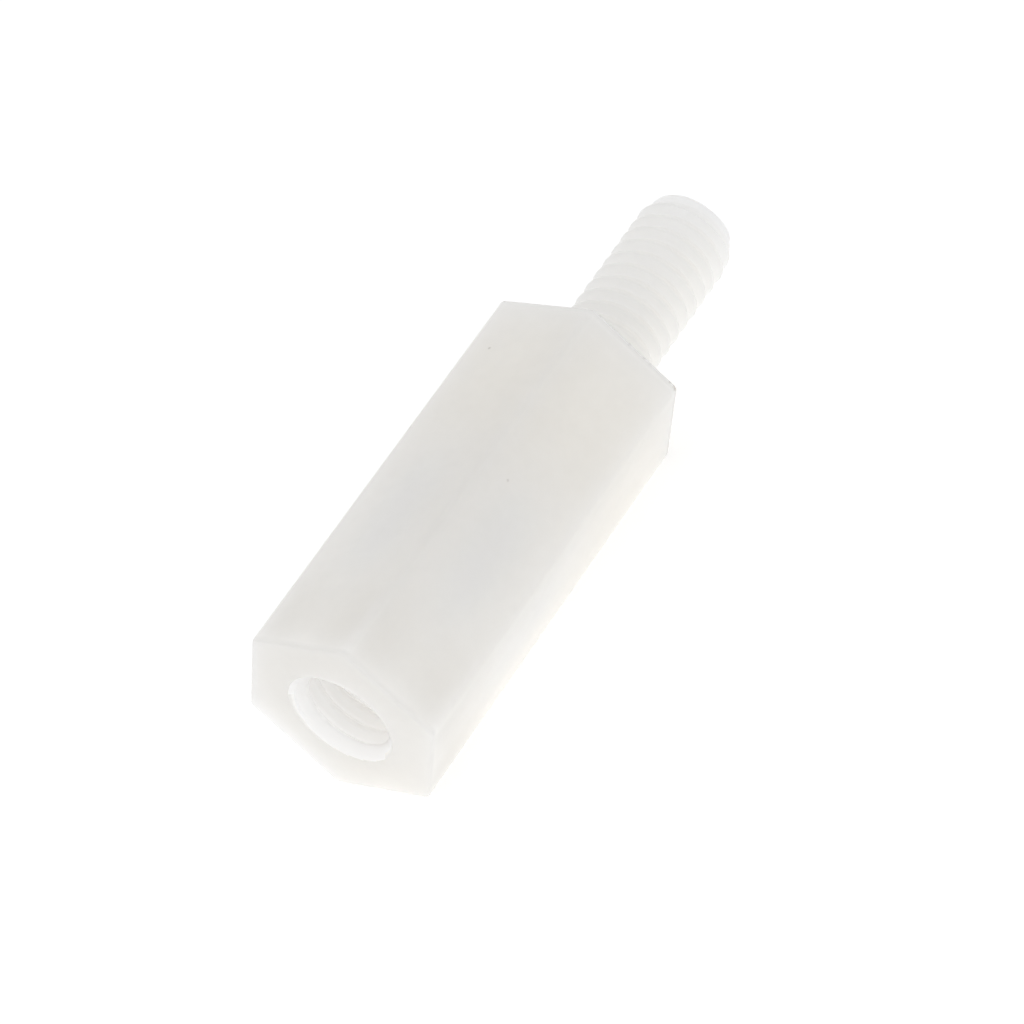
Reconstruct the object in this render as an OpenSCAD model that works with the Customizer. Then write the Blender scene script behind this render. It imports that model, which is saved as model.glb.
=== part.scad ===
// Male-female hex standoff for M3 screws, moulded in natural nylon as one piece.
//
// A standoff holds a circuit board away from a panel. A screw goes into the threaded hole in
// one end. The threaded stud on the other end passes through the board and takes a nut, or
// goes into the hole of the next standoff.
//
// Sizes are in millimetres. The standoff lies on one of its flats, along X, with the stud
// towards +X. The origin is under the middle of its overall length, on the surface it lies on.
// The threads are drawn at their crests: the stud as a plain shaft, the hole as a plain bore.

/* [Hex body] */
// Width across two opposite flats, which is the spanner size
across_flats = 5.5; // [5:0.1:8]
// Length of the hex body, from the open end to the shoulder
body_length = 13; // [10:0.5:40]
// How far each long corner stops short of the sharp corner of the hexagon
corner_relief = 0.03; // [0.01:0.01:0.1]
// Bevel along the straight edges of both end faces
end_bevel = 0.06; // [0.02:0.01:0.2]

/* [Thread] */
// Nominal diameter of the metric thread of the stud and the hole
thread_size = 3; // [2.5:0.5:3]
// Distance from one thread crest to the next
thread_pitch = 0.5; // [0.35:0.05:0.6]
// How far the stud's crests stay under the nominal diameter, so that it turns freely
crest_allowance = 0.1; // [0.05:0.01:0.2]

/* [Stud] */
// Length of the stud, from the shoulder to its tip
stud_length = 6.1; // [4:0.1:12]
// Length of the taper that leads the stud into a hole
tip_taper_length = 0.65; // [0.3:0.05:1]
// How much smaller than the crests the flat tip is, in diameter
tip_reduction = 0.4; // [0.2:0.02:0.8]

/* [Screw hole] */
// Depth of the parallel part of the hole, from the open end
hole_depth = 8; // [5:0.5:8.5]
// How much wider than the nominal thread the countersunk mouth is, in diameter
mouth_margin = 0.2; // [0.05:0.05:0.6]
// Slope of the countersunk mouth, measured from the end face
mouth_angle = 45; // [30:5:60]
// Slope of the conical bottom of the hole, measured from a flat bottom
bottom_angle = 31; // [10:1:45]

/* [Hidden] */
// A hexagon, and the turns that set it on one flat along X
flat_count = 6;
full_turn = 360;
flat_step = full_turn / flat_count;
quarter_turn = full_turn / 4;
corner_distance = across_flats / 2 / cos(flat_step / 2);
corner_radius = corner_distance - corner_relief;
flat_width = 2 * corner_distance * sin(flat_step / 2);

// Whole standoff
overall_length = body_length + stud_length;
axis_height = across_flats / 2;

// Stud, over its crests
stud_radius = (thread_size - crest_allowance) / 2;
tip_radius = stud_radius - tip_reduction / 2;
shank_length = stud_length - tip_taper_length;
// The stud starts this far inside the body, so that the two are one solid
stud_root = 1;

// Hole, at the crests of its own thread: the nominal diameter less one pitch
bore_radius = (thread_size - thread_pitch) / 2;
mouth_radius = (thread_size + mouth_margin) / 2;
mouth_depth = (mouth_radius - bore_radius) * tan(mouth_angle);
bottom_depth = bore_radius * tan(bottom_angle);

// How far the cutting shapes reach past the faces that they cut
cut_past = 0.2;

// Blocks that cut the end bevels, at 45 degrees to the faces
bevel_slope = quarter_turn / 2;
bevel_reach = end_bevel * cos(bevel_slope);
cutter_size = 2 * (end_bevel + cut_past);
cutter_length = flat_width + cut_past;

// Fineness of the round faces
$fn = 96;

nylon_colour = "WhiteSmoke";

// The hexagon with its six corners taken back a little, one flat facing the -X side
module hex_section() {
    intersection() {
        rotate(flat_step / 2)
            circle(r = corner_distance, $fn = flat_count);
        circle(r = corner_radius);
    }
}

// Six cutting blocks that bevel the edges of the open end, each with one face across the edge
module edge_cutters() {
    for (turn = [0 : flat_step : full_turn - flat_step])
        rotate([0, 0, turn])
            translate([across_flats / 2, 0, 0])
                rotate([0, bevel_slope, 0])
                    translate([-bevel_reach, -cutter_length / 2, -cutter_size / 2])
                        cube([cutter_size, cutter_length, cutter_size]);
}

// The hex body, standing on its open end
module hex_body() {
    difference() {
        linear_extrude(body_length)
            hex_section();
        edge_cutters();
        translate([0, 0, body_length])
            mirror([0, 0, 1])
                edge_cutters();
    }
}

// The stud, with its tapered tip
module stud() {
    translate([0, 0, body_length - stud_root])
        cylinder(r = stud_radius, h = stud_root + shank_length);
    translate([0, 0, body_length + shank_length])
        cylinder(r1 = stud_radius, r2 = tip_radius, h = tip_taper_length);
}

// The blind hole, with its countersunk mouth and conical bottom, as a cutting shape
module screw_hole() {
    translate([0, 0, -cut_past])
        cylinder(r = bore_radius, h = hole_depth + cut_past);
    translate([0, 0, hole_depth])
        cylinder(r1 = bore_radius, r2 = 0, h = bottom_depth);
    cylinder(r1 = mouth_radius, r2 = bore_radius, h = mouth_depth);
    translate([0, 0, -cut_past])
        cylinder(r = mouth_radius, h = cut_past);
}

// The whole standoff, laid along X on one of its flats
module hex_standoff() {
    color(nylon_colour)
        translate([-overall_length / 2, 0, axis_height])
            rotate([0, quarter_turn, 0])
                difference() {
                    union() {
                        hex_body();
                        stud();
                    }
                    screw_hole();
                }
}

hex_standoff();
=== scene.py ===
# %% [markdown]
# # A nylon hex standoff
# A standoff is a small spacer that holds a circuit board away from a panel. This one is moulded
# in one piece from natural nylon: a hexagonal body that a spanner can hold, a threaded hole in
# one end, and a threaded stud on the other. The exact solid is already made, with a plain bore
# and a plain stud, and is loaded here as a fixed frame. This lesson models the same piece with
# its real threads and softened edges, and gives it the milky look of nylon.

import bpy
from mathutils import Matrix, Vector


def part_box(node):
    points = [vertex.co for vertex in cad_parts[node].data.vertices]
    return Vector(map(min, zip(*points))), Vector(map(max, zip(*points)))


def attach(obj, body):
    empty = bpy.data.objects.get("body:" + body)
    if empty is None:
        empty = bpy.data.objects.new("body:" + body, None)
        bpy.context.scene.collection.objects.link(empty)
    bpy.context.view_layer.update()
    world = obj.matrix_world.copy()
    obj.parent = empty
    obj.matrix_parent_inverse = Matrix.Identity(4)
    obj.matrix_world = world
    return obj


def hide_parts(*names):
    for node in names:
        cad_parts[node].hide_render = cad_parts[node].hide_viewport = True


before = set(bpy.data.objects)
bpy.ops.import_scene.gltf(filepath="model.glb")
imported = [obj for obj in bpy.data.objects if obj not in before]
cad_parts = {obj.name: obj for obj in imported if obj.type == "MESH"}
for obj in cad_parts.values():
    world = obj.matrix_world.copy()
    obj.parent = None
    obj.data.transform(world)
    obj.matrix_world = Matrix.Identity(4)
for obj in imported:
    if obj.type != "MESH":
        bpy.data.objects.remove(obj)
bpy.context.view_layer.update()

# %% Libraries
import math

import bmesh
import bpy
from mathutils import Matrix, Quaternion, Vector

# %% [markdown]
# ## Sizes
# The lengths come from the frame, so the detailed piece always fits it. Everything is shaped in
# millimetres round the X axis, because the numbers of a small screw are easy to read that way,
# and the finished mesh is scaled to metres and lifted to its place in one step. The body is
# 5.5 mm across the flats, and carries an M3 thread with a pitch of 0.5 mm.

# %% Sizes of the standoff, in millimetres
stud_length = 6.1
thread_pitch = 0.5
stud_crest = 1.45      # radius over the crests of the stud
stud_root = 1.20       # radius at the bottom of its grooves
hole_crest = 1.25      # radius inside the crests of the hole
hole_root = 1.5        # radius at the bottom of its grooves

mm_per_metre = 1000
low_corner, high_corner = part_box("hex_standoff")
across_flats = (high_corner.z - low_corner.z) * mm_per_metre
open_end = low_corner.x * mm_per_metre
stud_tip = high_corner.x * mm_per_metre
shoulder = stud_tip - stud_length

quarter_turn = math.radians(90)
half_side = math.radians(30)      # half of one side of the hexagon, seen from the axis
axis_height = across_flats / 2
corner_distance = axis_height / math.cos(half_side)
half_flat = corner_distance / 2
print(f"body {shoulder - open_end:.2f} mm long, {across_flats:.2f} mm across the flats")

# %% [markdown]
# ## The outline of the hexagon
# A moulded hexagon never has knife-sharp corners: the tool leaves a radius of about 0.2 mm.
# A circle of six segments is a hexagon, and bevelling its corner points gives the radius.
# The straight sides are then cut into short pieces. The short piece next to each corner keeps
# the corner's soft shading from spreading over the whole flat.

# %% The outline of the hexagon, round the X axis
corner_radius = 0.2
corner_steps = 4
side_steps = 16


def hexagon_ring(bm):
    """Adds the closed outline at X = 0, one side on top, and returns its edges."""
    flat = bmesh.ops.create_circle(bm, cap_ends=True, segments=6, radius=corner_distance)
    bmesh.ops.bevel(bm, geom=flat["verts"], offset=corner_radius * math.tan(half_side),
                    offset_type="OFFSET", segments=corner_steps, profile=0.5,
                    affect="VERTICES", material=-1)
    long_sides = [e for e in bm.edges if e.calc_length() > 1]
    bmesh.ops.subdivide_edges(bm, edges=long_sides, cuts=side_steps - 1)
    bmesh.ops.delete(bm, geom=bm.faces[:], context="FACES_ONLY")
    # The circle lies on XY with a corner on Y: turn it by half a side and stand it up across X.
    turn = (Matrix.Rotation(quarter_turn, 4, "X") @ Matrix.Rotation(quarter_turn, 4, "Y")
            @ Matrix.Rotation(half_side, 4, "Z"))
    bmesh.ops.transform(bm, matrix=turn, verts=bm.verts[:])
    return bm.edges[:]


piece = bmesh.new()
ring = hexagon_ring(piece)
print(f"outline of {len(ring)} edges, top side at {max(v.co.z for v in piece.verts):.3f} mm")

# %% [markdown]
# ## The body, ring by ring
# The body could be one long extrusion with bevelled ends. Extruding the outline ring by ring
# makes the same shape, and lets each ring be set a little in or out. The rings at the two ends
# follow a quarter circle, which gives the fine rounded edge round each end face. One more ring
# lies close beside each rounded edge, so that the flats and the end faces shade flat.

# %% Extrude the rings of the body
edge_radius = 0.08
edge_steps = 3
edge_support = 0.12
ring_count = 26


def extrude_ring(bm, edges, x, reach):
    """Extrudes a closed ring to x, its top at reach from the axis, and returns the new ring."""
    made = bmesh.ops.extrude_edge_only(bm, edges=edges)["geom"]
    verts = [g for g in made if isinstance(g, bmesh.types.BMVert)]
    factor = reach / max(v.co.z for v in verts)
    bmesh.ops.scale(bm, vec=(1, factor, factor), verts=verts)
    bmesh.ops.translate(bm, vec=(x - verts[0].co.x, 0, 0), verts=verts)
    return [g for g in made if isinstance(g, bmesh.types.BMEdge)]


def rounded_edge(face_x, inwards):
    """Stations from an end face to where the flats begin. inwards is +1 or -1 along X."""
    turns = [quarter_turn * step / edge_steps for step in range(edge_steps + 1)]
    return [(face_x + inwards * edge_radius * (1 - math.cos(a)),
             axis_height - edge_radius * (1 - math.sin(a))) for a in turns]


first_wall = open_end + edge_radius + edge_support
last_wall = shoulder - edge_radius - edge_support
wall = [(first_wall + (last_wall - first_wall) * i / ring_count, axis_height)
        for i in range(ring_count + 1)]
inner_reach = axis_height - edge_radius - edge_support
stations = ([(open_end, inner_reach)] + rounded_edge(open_end, 1) + wall
            + rounded_edge(shoulder, -1)[::-1] + [(shoulder, inner_reach)])

start_factor = inner_reach / axis_height
bmesh.ops.scale(piece, vec=(1, start_factor, start_factor), verts=piece.verts[:])
bmesh.ops.translate(piece, vec=(open_end, 0, 0), verts=piece.verts[:])
for x, reach in stations[1:]:
    ring = extrude_ring(piece, ring, x, reach)
print(f"body of {len(stations)} rings, {len(piece.faces)} faces")

# %% [markdown]
# ## Sink in the flats
# Nylon shrinks most where it is thickest, so the middle of each flat sinks by about a hundredth
# of a millimetre. It is too little to measure on the part, but it bends the soft reflections and
# keeps the flats from looking like sheets of glass. Each point is moved straight in towards the
# axis, by an amount that fades to nothing at the corners and at both ends.

# %% Let the flats sink a little
sink_depth = 0.012
touching = 0.001       # points closer than this, in mm, lie on the same face


def nearest_flat(co):
    """The normal of the flat that a point belongs to, and its place from mid flat 0 to corner 1."""
    angle = math.degrees(math.atan2(co.z, co.y))
    facing = math.radians(round((angle - 30) / 60) * 60 + 30)
    normal = Vector((0, math.cos(facing), math.sin(facing)))
    return normal, min(1, abs(co.cross(normal).x) / half_flat)


def sink(bm):
    middle, half_length = (open_end + shoulder) / 2, (shoulder - open_end) / 2
    deepest = 0
    for v in bm.verts:
        normal, across = nearest_flat(v.co)
        along = (v.co.x - middle) / half_length
        if v.co.dot(normal) > axis_height - touching:
            depth = sink_depth * (1 - across ** 2) ** 2 * max(0, 1 - along ** 4)
            v.co -= normal * depth
            deepest = max(deepest, depth)
    return deepest


print(f"flats sink by {sink(piece):.3f} mm at most")

# %% [markdown]
# ## The thread
# A screw thread is one tooth profile carried round the axis while it moves along it by one pitch
# for each turn. It could be faked with rings, but rings never meet as a thread does at its ends.
# Here a whole row of teeth is spun through one full turn, moving along by exactly one pitch, so
# that the end of each tooth lands on the start of the next. The spin's own merge would weld the
# last step to the first one of the same tooth, so it is off, and the doubles are welded after
# it. The corners of the tooth are bevelled first, because a moulded thread has soft crests.
# Turning from Y towards Z while moving along +X makes a right-hand thread.

# %% One row of teeth
flank_slope = math.tan(math.radians(30))   # both flanks of a metric thread lean 30 degrees
tooth_soft = 0.03
straight = 0.99        # two edges whose directions agree this well are in line


def is_bend(v):
    """Says whether the chain turns at this point. Its two ends aren't bends."""
    if len(v.link_edges) < 2:
        return False
    one, other = [(e.other_vert(v).co - v.co).normalized() for e in v.link_edges]
    return abs(one.dot(other)) < straight


def tooth_row(bm, start, teeth, valley, peak, peak_width):
    """Adds a chain of teeth along X at Z = 0, from the middle of one valley."""
    flank = abs(peak - valley) * flank_slope
    valley_half = (thread_pitch - peak_width - 2 * flank) / 2
    corners = [(0, valley), (valley_half, valley), (valley_half + flank, peak),
               (valley_half + flank + peak_width, peak), (thread_pitch - valley_half, valley),
               (thread_pitch, valley)]
    chain = [bm.verts.new((start + x, 0, r)) for x, r in corners]
    for a, b in zip(chain, chain[1:]):
        bm.edges.new((a, b))
    tooth = bm.verts[:] + bm.edges[:]
    for number in range(1, teeth):
        copy = bmesh.ops.duplicate(bm, geom=tooth)["geom"]
        bmesh.ops.translate(bm, vec=(thread_pitch * number, 0, 0),
                            verts=[g for g in copy if isinstance(g, bmesh.types.BMVert)])
    bmesh.ops.remove_doubles(bm, verts=bm.verts[:], dist=touching)
    bmesh.ops.bevel(bm, geom=[v for v in bm.verts if is_bend(v)], offset=tooth_soft,
                    offset_type="OFFSET", segments=2, profile=0.5, affect="VERTICES",
                    material=-1)


# %% Spin the row into a thread
thread_columns = 120
weld_distance = 0.0005


def spun_thread(start, teeth, valley, peak, peak_width):
    """A right-hand thread surface round X, open at both ends."""
    bm = bmesh.new()
    tooth_row(bm, start, teeth, valley, peak, peak_width)
    profile = len(bm.verts)
    bmesh.ops.spin(bm, geom=bm.verts[:] + bm.edges[:], cent=(0, 0, 0), axis=(1, 0, 0),
                   dvec=(thread_pitch / thread_columns, 0, 0), angle=math.tau,
                   steps=thread_columns, use_merge=False, use_duplicate=False)
    before = len(bm.verts)
    bmesh.ops.remove_doubles(bm, verts=bm.verts[:], dist=weld_distance)
    print(f"thread: profile of {profile} points, {before - len(bm.verts)} welded, "
          f"{len(bm.faces)} faces")
    return bm


stud_lead_in = 1.25    # the thread starts this far inside the body, and is cut off there
stud_teeth = 15
stud_peak_width = 0.08
stud = spun_thread(shoulder - stud_lead_in, stud_teeth, stud_root, stud_crest, stud_peak_width)

# %% [markdown]
# ## Turning the stud to shape
# On the real stud the crests are cut away by the taper at the tip, as if the thread had been
# chased on a turned blank. The same is done here: no point may stand further out than the blank
# at its place along the axis. Two planes then cut the thread square at the shoulder and the tip.
# The cut outline of the tip isn't quite round, so the end face is closed with a few rings that
# are set to true circles, and a centre point.

# %% Helpers for turned shapes
cut_margin = 0.0001


def set_radius(v, radius):
    factor = radius / math.hypot(v.co.y, v.co.z)
    v.co.y *= factor
    v.co.z *= factor


def outline_at(bm, x):
    """The open edges that lie in the plane across X at x."""
    return [e for e in bm.edges
            if e.is_boundary and all(abs(v.co.x - x) < weld_distance for v in e.verts)]


def cut_square(bm, x, side):
    """Cuts everything off beyond x, on the side +1 or -1, and returns the cut outline."""
    bmesh.ops.bisect_plane(bm, geom=bm.verts[:] + bm.edges[:] + bm.faces[:], dist=cut_margin,
                           plane_co=(x, 0, 0), plane_no=(side, 0, 0), clear_outer=True)
    return outline_at(bm, x)


def close_end(bm, outline):
    """Fills a small round outline and gives the face a centre point."""
    face = bmesh.ops.holes_fill(bm, edges=outline, sides=0)["faces"]
    bmesh.ops.poke(bm, faces=face)


# %% Shape the stud
taper_length = 0.65
tip_radius = 1.25
tip_soft = 0.1
tip_rings = (1.08, 0.9, 0.5, 0.1)


def blank_radius(x):
    """Radius of the turned blank of the stud at x, with its taper and its softened tip."""
    tapered = max(0, x - (stud_tip - taper_length)) / taper_length
    to_tip = max(0, min(tip_soft, stud_tip - x))
    softened = tip_soft - math.sqrt(tip_soft ** 2 - (tip_soft - to_tip) ** 2)
    return stud_crest - tapered * (stud_crest - tip_radius) - softened


for v in stud.verts:
    set_radius(v, min(math.hypot(v.co.y, v.co.z), blank_radius(v.co.x)))
cut_square(stud, shoulder, -1)
tip_outline = cut_square(stud, stud_tip, 1)
points_round = len(tip_outline)
for radius in tip_rings:
    tip_outline = extrude_ring(stud, tip_outline, stud_tip, radius)
    for v in {v for e in tip_outline for v in e.verts}:
        set_radius(v, radius)
close_end(stud, tip_outline)
print(f"stud of {len(stud.faces)} faces, {points_round} points round its tip")

# %% [markdown]
# ## Turning the hole to shape
# The hole works the other way round: no point may stand further in than its countersunk mouth,
# which is a cone at 45 degrees. Near the bottom the tap stops, so the grooves fade away over one
# pitch and leave the plain drilled wall. Three rings and a centre point make the shallow cone
# that a drill leaves at the bottom.

# %% Shape the hole
mouth_radius = 1.6
hole_depth = 8.0
thread_depth = 7.0
hole_bottom = open_end + hole_depth
drill_cone = ((0.05, 1.17), (0.4, 0.58), (0.7, 0.08))    # past the bottom, and radius
hole_lead_in = 1.0     # the thread starts this far outside the mouth, and is cut off there
hole_teeth = 19
hole_valley_width = 0.06

hole = spun_thread(open_end - hole_lead_in, hole_teeth, hole_crest, hole_root, hole_valley_width)
for v in hole.verts:
    tapped = max(0, min(1, (open_end + thread_depth - v.co.x) / thread_pitch))
    radius = hole_crest + (math.hypot(v.co.y, v.co.z) - hole_crest) * tapped
    set_radius(v, max(radius, mouth_radius - max(0, v.co.x - open_end)))
cut_square(hole, open_end, -1)
bottom_ring = cut_square(hole, hole_bottom, 1)
for past, reach in drill_cone:
    bottom_ring = extrude_ring(hole, bottom_ring, hole_bottom + past, reach)
close_end(hole, bottom_ring)
print(f"hole of {len(hole.faces)} faces")

# %% [markdown]
# ## One closed piece
# The stud and the hole join the body on its two end faces. Each end face is a flat area between
# two outlines, the hexagon and the cut thread, that don't have the same number of points, so it
# is filled with triangles. With everything welded, the normals are turned outwards together, and
# the piece is tested: on a closed solid every edge has exactly two faces. The operators make
# faces in an order that changes from run to run, so everything is put in order by place.

# %% Join, close and test the piece
seam_distance = 0.0002
order_weights = Vector((1, 0.7310586, 0.4142136))    # unrelated, so that no two places tie


def take_in(bm, other):
    """Moves another bmesh's geometry into bm, by way of a mesh that is thrown away."""
    carrier = bpy.data.meshes.new("carrier")
    other.to_mesh(carrier)
    bm.from_mesh(carrier)
    bpy.data.meshes.remove(carrier)
    other.free()


take_in(piece, stud)
take_in(piece, hole)
for x in (open_end, shoulder):
    rims = outline_at(piece, x)
    before = len(piece.faces)
    bmesh.ops.triangle_fill(piece, use_beauty=True, edges=rims)
    print(f"end face at {x:.1f} mm: {len(rims)} rim edges, {len(piece.faces) - before} faces")
bmesh.ops.remove_doubles(piece, verts=piece.verts[:], dist=seam_distance)
bmesh.ops.recalc_face_normals(piece, faces=piece.faces[:])
piece.verts.sort(key=lambda v: v.co.dot(order_weights))
piece.edges.sort(key=lambda e: (e.verts[0].co + e.verts[1].co).dot(order_weights))
piece.faces.sort(key=lambda f: f.calc_center_median().dot(order_weights))
open_edges = [e for e in piece.edges if not e.is_manifold]
print(f"{len(piece.faces)} faces, {len(open_edges)} open edges, "
      f"volume {piece.calc_volume():.1f} mm3")

# %% [markdown]
# ## Edges: wear and painted shade
# Handling polishes the parts that stand out: the corners of the hexagon, the rims of the end
# faces and the crests of the thread. How sharply the surface bends outwards at each point is
# stored with the mesh, so that the finish can find those places on any model. The finish greys
# their colour a little too, which is painted shade against the glow they catch from both sides.
# The same bend decides which edges shade sharp and which shade smooth.

# %% Store the wear and edge shade, and mark the sharp edges
sharp_angle = math.radians(35)
full_bend_angle = math.radians(40)

wear_and_shade_layer = piece.verts.layers.float.new("edge_wear_and_shade")
for e in piece.edges:
    bend = e.calc_face_angle_signed(0)
    e.smooth = abs(bend) < sharp_angle
    for v in e.verts:
        v[wear_and_shade_layer] = max(v[wear_and_shade_layer], min(1, max(0, bend) / full_bend_angle))
for face in piece.faces:
    face.smooth = True
worn = sum(1 for v in piece.verts if v[wear_and_shade_layer] > 0.5)
print(f"{worn} of {len(piece.verts)} points stand out on an edge or a crest")

# %% [markdown]
# ## Painted light and shade on the nylon
# The inside of the hole, the stud and the bottoms of its grooves are made lighter, and so are
# the thin walls round the hole, which let more light through than the solid half, and one side
# of the hole's mouth: all of it painted light. The long corners, the flats near the open end, the
# open end and its upper half, the shoulder and its rounding are made greyer, and so is the side of
# the stud that the floor lights most: all of it painted shade. This could be painted as a
# texture, but the places follow the shape, so a factor on the colour is worked out from where
# each point lies and stored with the mesh.

# %% How much painted light and shade each place gets
# entries above 0 are painted light, entries below 0 are painted shade
painted_light_amounts = {
    "hole": 0.22,
    "stud": 0.118,
    "stud side": -0.045,        # painted shade on the side of the stud that the floor lights most
    "groove": 0.07,             # painted light in the bottoms of the stud's grooves
    "wall": 0.152,              # painted light on the middles of the flats over the hole
    "corner": -0.045,           # painted shade on the long corners of the hexagon
    "rim": -0.225,              # painted shade on the flats as they near the open end
    "open end": -0.163,
    "open edge": -0.157,        # painted shade on the rounding round the open end
    "end top": -0.022,          # painted shade on the upper half of the open end
    "mouth side": 0.07,         # painted light on one side of the hole's mouth
    "shoulder": -0.03,
    "shoulder edge": -0.3,      # painted shade on the rounding round the shoulder
}
rim_length = 4                  # how far the rim's painted shade reaches along the flats
wall_fades = (-2.5, 1.5)        # where the walls' painted light ends, from the hole's bottom
edge_fades = (0.25, 0.05)       # where the shoulder edge's painted shade starts and is full
solid_half = hole_bottom + 1    # past the hole's cone
rounding_margin = 0.01
hidden_share = 0.2              # how much painted shade the far side of the shoulder edge keeps
shade_span = (-1.5, 2)           # where its painted shade grows to the full, along -Y
side_tilt = 0.5                 # how far the stud's side is turned down from -Y


def ease(value, start, end):
    """Goes softly from 0 at start to 1 at end."""
    share = max(0, min(1, (value - start) / (end - start)))
    return share * share * (3 - 2 * share)


# %% Which places a point belongs to
def stud_places(co, radius):
    groove = (stud_crest - radius) / (stud_crest - stud_root) if radius > stud_root else 0
    towards_side = -(co.y + co.z * side_tilt) / stud_crest
    return {"stud": 1, "stud side": ease(towards_side, 0, 1), "groove": groove}


def open_end_places(co, radius, rounded):
    at_mouth = radius < mouth_radius + rounding_margin
    return {"open edge" if rounded else "open end": 1,
            "end top": max(0, co.z) / axis_height,
            "mouth side": ease(-co.y, 0, mouth_radius) if at_mouth else 0}


def flat_places(co, across):
    over_hole = 1 - ease(co.x, hole_bottom + wall_fades[0], hole_bottom + wall_fades[1])
    near_mouth = 1 - ease(co.x, open_end, open_end + rim_length)
    near_shoulder = ease(co.x, shoulder - edge_fades[0], shoulder - edge_fades[1])
    # painted shade along the shoulder edge, strongest towards -Y
    shaded_side_share = hidden_share + (1 - hidden_share) * ease(-co.y, shade_span[0], shade_span[1])
    return {"wall": over_hole * (1 - across ** 2), "corner": ease(across, 0, 1),
            "rim": near_mouth * (1 - across ** 4), "shoulder edge": near_shoulder * shaded_side_share}


def places(co):
    """How much a point belongs to each place, from 0 to 1."""
    radius = math.hypot(co.y, co.z)
    if radius < mouth_radius and open_end + touching < co.x < solid_half:
        return {"hole": 1}
    if co.x > shoulder:
        return stud_places(co, radius)
    normal, across = nearest_flat(co)
    rounded = co.dot(normal) > inner_reach + rounding_margin
    if co.x < open_end + edge_radius + rounding_margin:
        return open_end_places(co, radius, rounded)
    if co.x > shoulder - touching and not rounded:
        return {"shoulder": 1}
    return flat_places(co, across)


# %% Store the painted light and shade of each place
painted_light_layer = piece.verts.layers.float.new("painted_light")
for v in piece.verts:
    v[painted_light_layer] = 1 + sum(painted_light_amounts[place] * share for place, share in places(v.co).items())
painted_light_values = [v[painted_light_layer] for v in piece.verts]
print(f"milk from {min(painted_light_values):.3f} to {max(painted_light_values):.3f}")

# %% [markdown]
# ## The finished mesh
# The piece could be left in millimetres and scaled as an object, but patterns and exports are
# simplest when an object sits at the origin, unturned and unscaled. So the mesh itself is scaled
# to metres and lifted until its lowest flat lies on the floor. It then takes the place of the
# plain solid in the frame, and rides on the same body.

# %% Make the piece an object, in metres and in its place
to_metres = 1 / mm_per_metre
to_place = (Matrix.Translation((0, 0, axis_height * to_metres))
            @ Matrix.Diagonal((to_metres, to_metres, to_metres, 1)))
bmesh.ops.transform(piece, matrix=to_place, verts=piece.verts[:])
standoff_mesh = bpy.data.meshes.new("nylon_standoff")
piece.to_mesh(standoff_mesh)
piece.free()
standoff = bpy.data.objects.new("nylon_standoff", standoff_mesh)
bpy.context.scene.collection.objects.link(standoff)
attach(standoff, "root")
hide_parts("hex_standoff")
print("piece:", standoff.name, len(standoff_mesh.polygons), "faces")

# %% [markdown]
# ## Helpers for the finish
# The finish is built from a few effects: the milky clouding inside the nylon, the fine skin that
# the mould leaves, and specks of dirt with a row of dark marks that are painted shade. Each is a
# node group with named inputs and outputs, so it can be placed again with other values. Three
# short helpers make groups, wire nodes and mix colours. A Mix node keeps its sockets for numbers
# and for colours side by side under the same names, so they are told apart by their order.

# %% Node helpers
mix_share, first_number, second_number, mixed_number = 0, 2, 3, 0
first_colour, second_colour, mixed_colour = 6, 7, 2


def new_group(name, inputs, outputs):
    """A shader group. inputs and outputs are (name, kind, default) and (name, kind)."""
    group = bpy.data.node_groups.new(name, "ShaderNodeTree")
    for label, kind, default in inputs:
        socket = group.interface.new_socket(label, in_out="INPUT",
                                            socket_type="NodeSocket" + kind)
        if default is not None:
            socket.default_value = default
    for label, kind in outputs:
        group.interface.new_socket(label, in_out="OUTPUT", socket_type="NodeSocket" + kind)
    return group, group.nodes.new("NodeGroupInput"), group.nodes.new("NodeGroupOutput")


def node(tree, kind, values=None, links=None, **settings):
    """Adds a node, sets its properties and inputs, and wires what comes into it."""
    made = tree.nodes.new("ShaderNode" + kind)
    for key, value in settings.items():
        setattr(made, key, value)
    for key, value in (values or {}).items():
        made.inputs[key].default_value = value
    for key, source in (links or {}).items():
        tree.links.new(source, made.inputs[key])
    return made


def mix_colours(tree, share, first, second, blend_type="MIX"):
    """Mixes two colours by a share. Each is given as a value or as another node's output."""
    made = node(tree, "Mix", data_type="RGBA", blend_type=blend_type)
    given = {mix_share: share, first_colour: first, second_colour: second}
    for socket, source in given.items():
        if isinstance(source, bpy.types.NodeSocket):
            tree.links.new(source, made.inputs[socket])
        else:
            made.inputs[socket].default_value = source
    return made.outputs[mixed_colour]


def per_metre(tree, size_in_mm):
    """Turns a size in millimetres into the scale of a noise on coordinates in metres."""
    return node(tree, "Math", {0: mm_per_metre}, {1: size_in_mm}, operation="DIVIDE").outputs[0]


# %% [markdown]
# ## Milky clouding
# Natural nylon is never one even white. It cools in slow swirls that are drawn out along the
# flow of the plastic, a little warmer where it is thick. A noise stretched along X gives them.
# It reads Object coordinates, which are metres in the piece's own frame, so it stays put.

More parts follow.
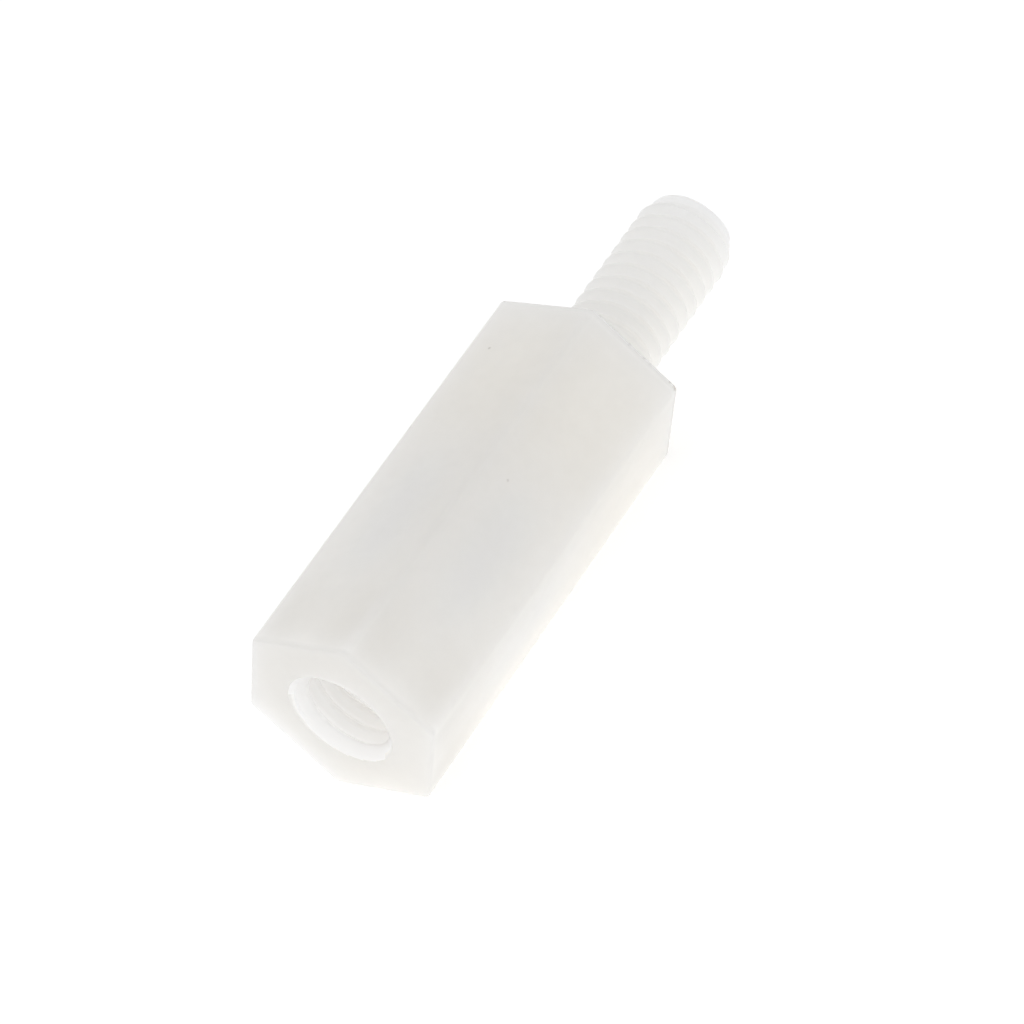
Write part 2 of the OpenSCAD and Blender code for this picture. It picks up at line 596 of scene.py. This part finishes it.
# %% The clouding group
def make_clouding():
    group, inside, outside = new_group(
        "Milky clouding",
        [("Position", "Vector", None), ("Cloud size mm", "Float", 1.6), ("Stretch", "Float", 3.0)],
        [("Cloud", "Float"), ("Fine cloud", "Float")])
    position = inside.outputs["Position"]
    stretch = node(group, "Math", {0: 1.0}, {1: inside.outputs["Stretch"]}, operation="DIVIDE")
    squeeze = node(group, "CombineXYZ", {"Y": 1.0, "Z": 1.0}, {"X": stretch.outputs[0]})
    drawn = node(group, "VectorMath", None, {0: position, 1: squeeze.outputs[0]},
                 operation="MULTIPLY")
    scale = per_metre(group, inside.outputs["Cloud size mm"])
    cloud = node(group, "TexNoise", {"Detail": 2.0, "Roughness": 0.5},
                 {"Vector": drawn.outputs[0], "Scale": scale})
    fine_scale = node(group, "Math", {1: 4.0}, {0: scale}, operation="MULTIPLY")
    fine = node(group, "TexNoise", {"Detail": 3.0, "Roughness": 0.6},
                {"Vector": position, "Scale": fine_scale.outputs[0]})
    group.links.new(cloud.outputs["Fac"], outside.inputs["Cloud"])
    group.links.new(fine.outputs["Fac"], outside.inputs["Fine cloud"])
    return group


clouding_group = make_clouding()
print("group:", clouding_group.name)

# %% [markdown]
# ## Moulded skin
# The mould is spark-eroded, not polished, so the skin is a fine, even satin: grains of about
# six hundredths of a millimetre, over a slower unevenness like orange peel. Both go out as one
# height, for the bump, and as a mask that breaks up the gloss.

# %% The skin group
def make_skin():
    group, inside, outside = new_group(
        "Moulded skin",
        [("Position", "Vector", None), ("Grain size mm", "Float", 0.06),
         ("Peel size mm", "Float", 0.7), ("Peel share", "Float", 0.5)],
        [("Height", "Float"), ("Gloss break", "Float")])
    position = inside.outputs["Position"]
    grain = node(group, "TexNoise", {"Detail": 2.0, "Roughness": 0.55},
                 {"Vector": position, "Scale": per_metre(group, inside.outputs["Grain size mm"])})
    peel = node(group, "TexNoise", {"Detail": 1.0, "Roughness": 0.4},
                {"Vector": position, "Scale": per_metre(group, inside.outputs["Peel size mm"])})
    height = node(group, "Mix", None,
                  {mix_share: inside.outputs["Peel share"], first_number: grain.outputs["Fac"],
                   second_number: peel.outputs["Fac"]}, data_type="FLOAT")
    gloss = node(group, "Mix", {mix_share: 0.35},
                 {first_number: peel.outputs["Fac"], second_number: grain.outputs["Fac"]},
                 data_type="FLOAT")
    group.links.new(height.outputs[mixed_number], outside.inputs["Height"])
    group.links.new(gloss.outputs[mixed_number], outside.inputs["Gloss break"])
    return group


skin_group = make_skin()
print("group:", skin_group.name)

# %% [markdown]
# ## Specks and painted shade
# A few specks of dust and burnt plastic sit in the skin, and a row of dark marks along the rim and
# corner of the shoulder is painted shade of the shoulder edge. Painting them as a random pattern
# would put them anywhere, so each is placed where it lies on the part: a mask that is strongest at
# a centre and fades out at a given size. A little noise keeps the specks from being round dots.

# %% The speck group
def make_speck():
    group, inside, outside = new_group(
        "Speck",
        [("Position", "Vector", None), ("Centre", "Vector", None), ("Size mm", "Float", 0.1),
         ("Strength", "Float", 1.0)],
        [("Mask", "Float")])
    position = inside.outputs["Position"]
    ragged = node(group, "TexNoise", {"Scale": 9000.0, "Detail": 1.0}, {"Vector": position})
    from_centre = node(group, "VectorMath", None, {0: position, 1: inside.outputs["Centre"]},
                       operation="DISTANCE")
    in_mm = node(group, "Math", {1: mm_per_metre}, {0: from_centre.outputs["Value"]},
                 operation="MULTIPLY")
    share = node(group, "Math", None, {0: in_mm.outputs[0], 1: inside.outputs["Size mm"]},
                 operation="DIVIDE")
    uneven = node(group, "Math", {1: 0.9}, {0: ragged.outputs["Fac"], 2: share.outputs[0]},
                  operation="MULTIPLY_ADD")
    mask = node(group, "MapRange",
                {"From Min": 0.7, "From Max": 1.45, "To Min": 1.0, "To Max": 0.0},
                {"Value": uneven.outputs[0]}, interpolation_type="SMOOTHSTEP")
    scaled = node(group, "Math", None,
                  {0: mask.outputs["Result"], 1: inside.outputs["Strength"]},
                  operation="MULTIPLY")
    group.links.new(scaled.outputs[0], outside.inputs["Mask"])
    return group


speck_group = make_speck()
print("group:", speck_group.name)

# %% [markdown]
# ## The colour of the nylon
# The colour comes in layers. The slow clouds mix a light and a warm white, the fine ones make it
# a shade darker or lighter, and worn edges and crests turn towards a duller white, painted shade
# against their glow. The factor of painted light and shade then lightens or greys each place.
# Inside the hole the nylon is made nearly pure white, painted light for the light that passes
# from wall to wall. A factor can't give that, because it would tint the colour as its channels
# reach their limit one by one, so the hole's white is mixed in instead.

# %% The colour of the nylon
milk_light = (0.856, 0.834, 0.794, 1)
milk_warm = (0.842, 0.819, 0.776, 1)
# a duller white for edges and crests: painted shade against their glow
edge_shade_white = (0.80, 0.79, 0.765, 1)
# painted light: the near pure white inside the hole
hole_painted_white = (1.0, 0.994, 0.984, 1)
edge_shade_amount = 0.35
hole_painted_light_range = {"From Min": 1.19, "From Max": 1.22}    # the painted light factor that only the hole reaches


def nylon_colour(tree, place, wear_and_shade):
    cloud = node(tree, "Group", {"Cloud size mm": 1.6, "Stretch": 3.0}, {"Position": place},
                 node_tree=clouding_group)
    tint = mix_colours(tree, cloud.outputs["Cloud"], milk_light, milk_warm)
    fine = node(tree, "MapRange",
                {"From Min": 0.3, "From Max": 0.7, "To Min": 0.99, "To Max": 1.01},
                {"Value": cloud.outputs["Fine cloud"]})
    mottled = mix_colours(tree, 1.0, tint, fine.outputs["Result"], "MULTIPLY")
    shaded_edge_share = node(tree, "Math", {1: edge_shade_amount}, {0: wear_and_shade}, operation="MULTIPLY")
    shaded_edge_colour = mix_colours(tree, shaded_edge_share.outputs[0], mottled, edge_shade_white)
    painted_light = node(tree, "Attribute", attribute_name="painted_light", attribute_type="GEOMETRY")
    shaded = node(tree, "VectorMath", None, {0: shaded_edge_colour, 1: painted_light.outputs["Fac"]},
                  operation="MULTIPLY")
    in_hole = node(tree, "MapRange", hole_painted_light_range, {"Value": painted_light.outputs["Fac"]})
    return mix_colours(tree, in_hole.outputs["Result"], shaded.outputs["Vector"], hole_painted_white)


# %% The specks of dirt, and the marks of painted shade along the shoulder
dirt_and_shade_brown = (0.16, 0.13, 0.10, 1)
specks = {
    # where it lies in mm, its size in mm, and how dark it is
    "top flat, near the shoulder": ((1.60, 0.84, 5.5), 0.06, 0.30),
    "top flat, back edge": ((-1.57, 1.56, 5.5), 0.08, 0.35),
    "top flat, shoulder rim": ((3.37, 1.48, 5.47), 0.07, 0.35),
    "side flat, halfway": ((-2.36, -2.01, 4.77), 0.06, 0.18),
    "side flat, low": ((0.28, -3.28, 2.57), 0.06, 0.15),
    # on the shoulder rim and corner: dark marks that are painted shade of the shoulder edge
    "shoulder rim, upper": ((3.40, -2.28, 4.30), 0.09, 0.25),
    "shoulder rim, middle": ((3.40, -2.56, 3.81), 0.09, 0.30),
    "shoulder rim, lower": ((3.40, -2.68, 3.61), 0.09, 0.20),
    "shoulder corner, above": ((3.40, -3.02, 2.95), 0.08, 0.75),
    "shoulder corner": ((3.41, -3.11, 2.78), 0.13, 0.95),
}


def dirt_and_shade_mask(tree, place):
    """The darkest of all the specks and shade marks at each point."""
    masks = []
    for centre, size, strength in specks.values():
        speck = node(tree, "Group", {"Size mm": size, "Strength": strength,
                                     "Centre": [c / mm_per_metre for c in centre]},
                     {"Position": place}, node_tree=speck_group)
        masks.append(speck.outputs["Mask"])
    darkest_mark = masks[0]
    for mask in masks[1:]:
        darkest_mark = node(tree, "Math", None, {0: darkest_mark, 1: mask}, operation="MAXIMUM").outputs[0]
    return darkest_mark


# %% [markdown]
# ## Natural nylon
# Light goes about 5 mm into clear white nylon before most of it has turned back, which is the
# thickness of this part, so the part glows softly and its shadows are pale. Subsurface
# scattering does this, and red light goes a little further than blue, which leaves the thick
# parts faintly warm. A clear coat or a glassy transmission would look like acrylic, so the
# surface is a plain satin. The skin and the wear change its gloss, and the skin gives its bump.

# %% The nylon material
skin_gloss = {"From Min": 0.3, "From Max": 0.7, "To Min": 0.40, "To Max": 0.52}
polish = -0.10         # how much smoother a fully worn edge is


def make_nylon():
    material = bpy.data.materials.new("natural_nylon")
    material.use_nodes = True
    tree = material.node_tree
    tree.nodes.clear()
    output = node(tree, "OutputMaterial")
    place = node(tree, "TexCoord").outputs["Object"]
    wear_and_shade = node(tree, "Attribute", attribute_name="edge_wear_and_shade",
                attribute_type="GEOMETRY").outputs["Fac"]
    clean = nylon_colour(tree, place, wear_and_shade)
    colour = mix_colours(tree, dirt_and_shade_mask(tree, place), clean, dirt_and_shade_brown)

    skin = node(tree, "Group", None, {"Position": place}, node_tree=skin_group)
    satin = node(tree, "MapRange", skin_gloss, {"Value": skin.outputs["Gloss break"]})
    polished = node(tree, "Math", {1: polish}, {0: wear_and_shade, 2: satin.outputs["Result"]},
                    operation="MULTIPLY_ADD")
    bump = node(tree, "Bump", {"Strength": 0.35, "Distance": 0.00001},
                {"Height": skin.outputs["Height"]})
    shader = node(tree, "BsdfPrincipled",
                  {"IOR": 1.53, "Subsurface Weight": 1.0, "Subsurface Scale": 0.005,
                   "Subsurface Radius": (1.0, 0.99, 0.97), "Subsurface Anisotropy": 0.0},
                  {"Base Color": colour, "Roughness": polished.outputs[0],
                   "Normal": bump.outputs["Normal"]}, subsurface_method="RANDOM_WALK")
    tree.links.new(shader.outputs["BSDF"], output.inputs["Surface"])
    return material


nylon = make_nylon()
standoff.data.materials.append(nylon)
print("material:", nylon.name, "with", len(specks), "specks")

# %% [markdown]
# ## The set
# The standoff lies on a plain pale floor under soft studio light. Such a small white part is
# usually shown on a light table, a sheet of white acrylic that is lit from below as well, so that
# the floor stays white right up to the part. The floor here glows for that reason. It lies a
# hundredth of a millimetre low, so that it and the part's bottom flat don't share a plane.

# %% The floor
floor_half_width = 0.6
floor_gap = 0.00001
floor_white = (0.65, 0.65, 0.65, 1)
floor_glow = 0.53
pure_white = (1, 1, 1, 1)


def make_floor():
    bm = bmesh.new()
    bmesh.ops.create_grid(bm, x_segments=1, y_segments=1, size=floor_half_width)
    bmesh.ops.translate(bm, vec=(0, 0, -floor_gap), verts=bm.verts[:])
    mesh = bpy.data.meshes.new("floor")
    bm.to_mesh(mesh)
    bm.free()
    floor = bpy.data.objects.new("floor", mesh)
    bpy.context.scene.collection.objects.link(floor)
    material = bpy.data.materials.new("white_acrylic")
    material.use_nodes = True
    shader = material.node_tree.nodes["Principled BSDF"]
    shader.inputs["Base Color"].default_value = floor_white
    shader.inputs["Roughness"].default_value = 0.6
    shader.inputs["Specular IOR Level"].default_value = 0.2
    shader.inputs["Emission Color"].default_value = pure_white
    shader.inputs["Emission Strength"].default_value = floor_glow
    mesh.materials.append(material)
    return floor


floor = make_floor()
print("floor:", floor.name)

# %% [markdown]
# ## Light
# Three broad soft lights stand at the open end, behind and above, and the room itself is pale.
# Light in the hole enters a wall, comes out and enters the next one many times before it leaves.
# With the usual handful of bounces it would be lost on the way and the hole would come out dark,
# so far more of them are followed.

# %% Soft studio light
room_glow = 0.673
light_width = 0.4
part_middle = Vector((0, 0, 0.003))
bounces_in_nylon = 64
bounces_in_all = 96


def soft_light(name, place, power):
    """A square soft light at a place in metres, turned towards the part."""
    lamp = bpy.data.lights.new(name, "AREA")
    lamp.shape = "SQUARE"
    lamp.size = light_width
    lamp.energy = power
    rig = bpy.data.objects.new(name, lamp)
    bpy.context.scene.collection.objects.link(rig)
    rig.location = place
    rig.rotation_euler = (Vector(place) - part_middle).to_track_quat("Z", "Y").to_euler()
    return rig


world = bpy.data.worlds.new("soft_room")
world.use_nodes = True
world.node_tree.nodes["Background"].inputs["Color"].default_value = pure_white
world.node_tree.nodes["Background"].inputs["Strength"].default_value = room_glow
bpy.context.scene.world = world
bpy.context.scene.cycles.diffuse_bounces = bounces_in_nylon
bpy.context.scene.cycles.max_bounces = bounces_in_all
lights = [
    soft_light("light_open_end", (-0.35, 0, 0.12), 0.274),
    soft_light("light_back", (0, 0.35, 0.12), 0.099),
    soft_light("light_top", (0, 0, 0.4), 0.107),
]
print("lights:", [light.name for light in lights])

# %% [markdown]
# ## The camera
# A long lens from above the open end shows two flats, the hole and the whole stud. The camera is
# described as in a studio: how far round and how high it stands, how much it leans, what it aims
# at, from how far and with which lens. Colours are shown as they are, without a film-like curve,
# because the curve would grey the whites.

# %% The camera
camera_round = -39.04      # degrees round the part, 0 looks along +Y
camera_high = 36.61        # degrees above the floor
camera_lean = -28.70       # degrees that the camera is rolled
camera_distance = 0.13778
camera_lens = 178.9
camera_aim = Vector((-1.062, 0.080, 1.975)) / mm_per_metre

around_angle, up_angle = math.radians(camera_round), math.radians(camera_high)
backwards = Vector((math.sin(around_angle) * math.cos(up_angle),
                    -math.cos(around_angle) * math.cos(up_angle), math.sin(up_angle)))
camera_data = bpy.data.cameras.new("camera")
camera_data.lens = camera_lens
camera_data.clip_start = 0.001
camera_data.clip_end = 10
camera = bpy.data.objects.new("camera", camera_data)
camera.location = camera_aim + backwards * camera_distance
camera.rotation_mode = "QUATERNION"
camera.rotation_quaternion = (backwards.to_track_quat("Z", "Y")
                              @ Quaternion((0, 0, 1), math.radians(camera_lean)))
bpy.context.scene.collection.objects.link(camera)
bpy.context.scene.camera = camera
bpy.context.scene.view_settings.view_transform = "Standard"
print("camera at", [round(c * mm_per_metre, 1) for c in camera.location], "mm")
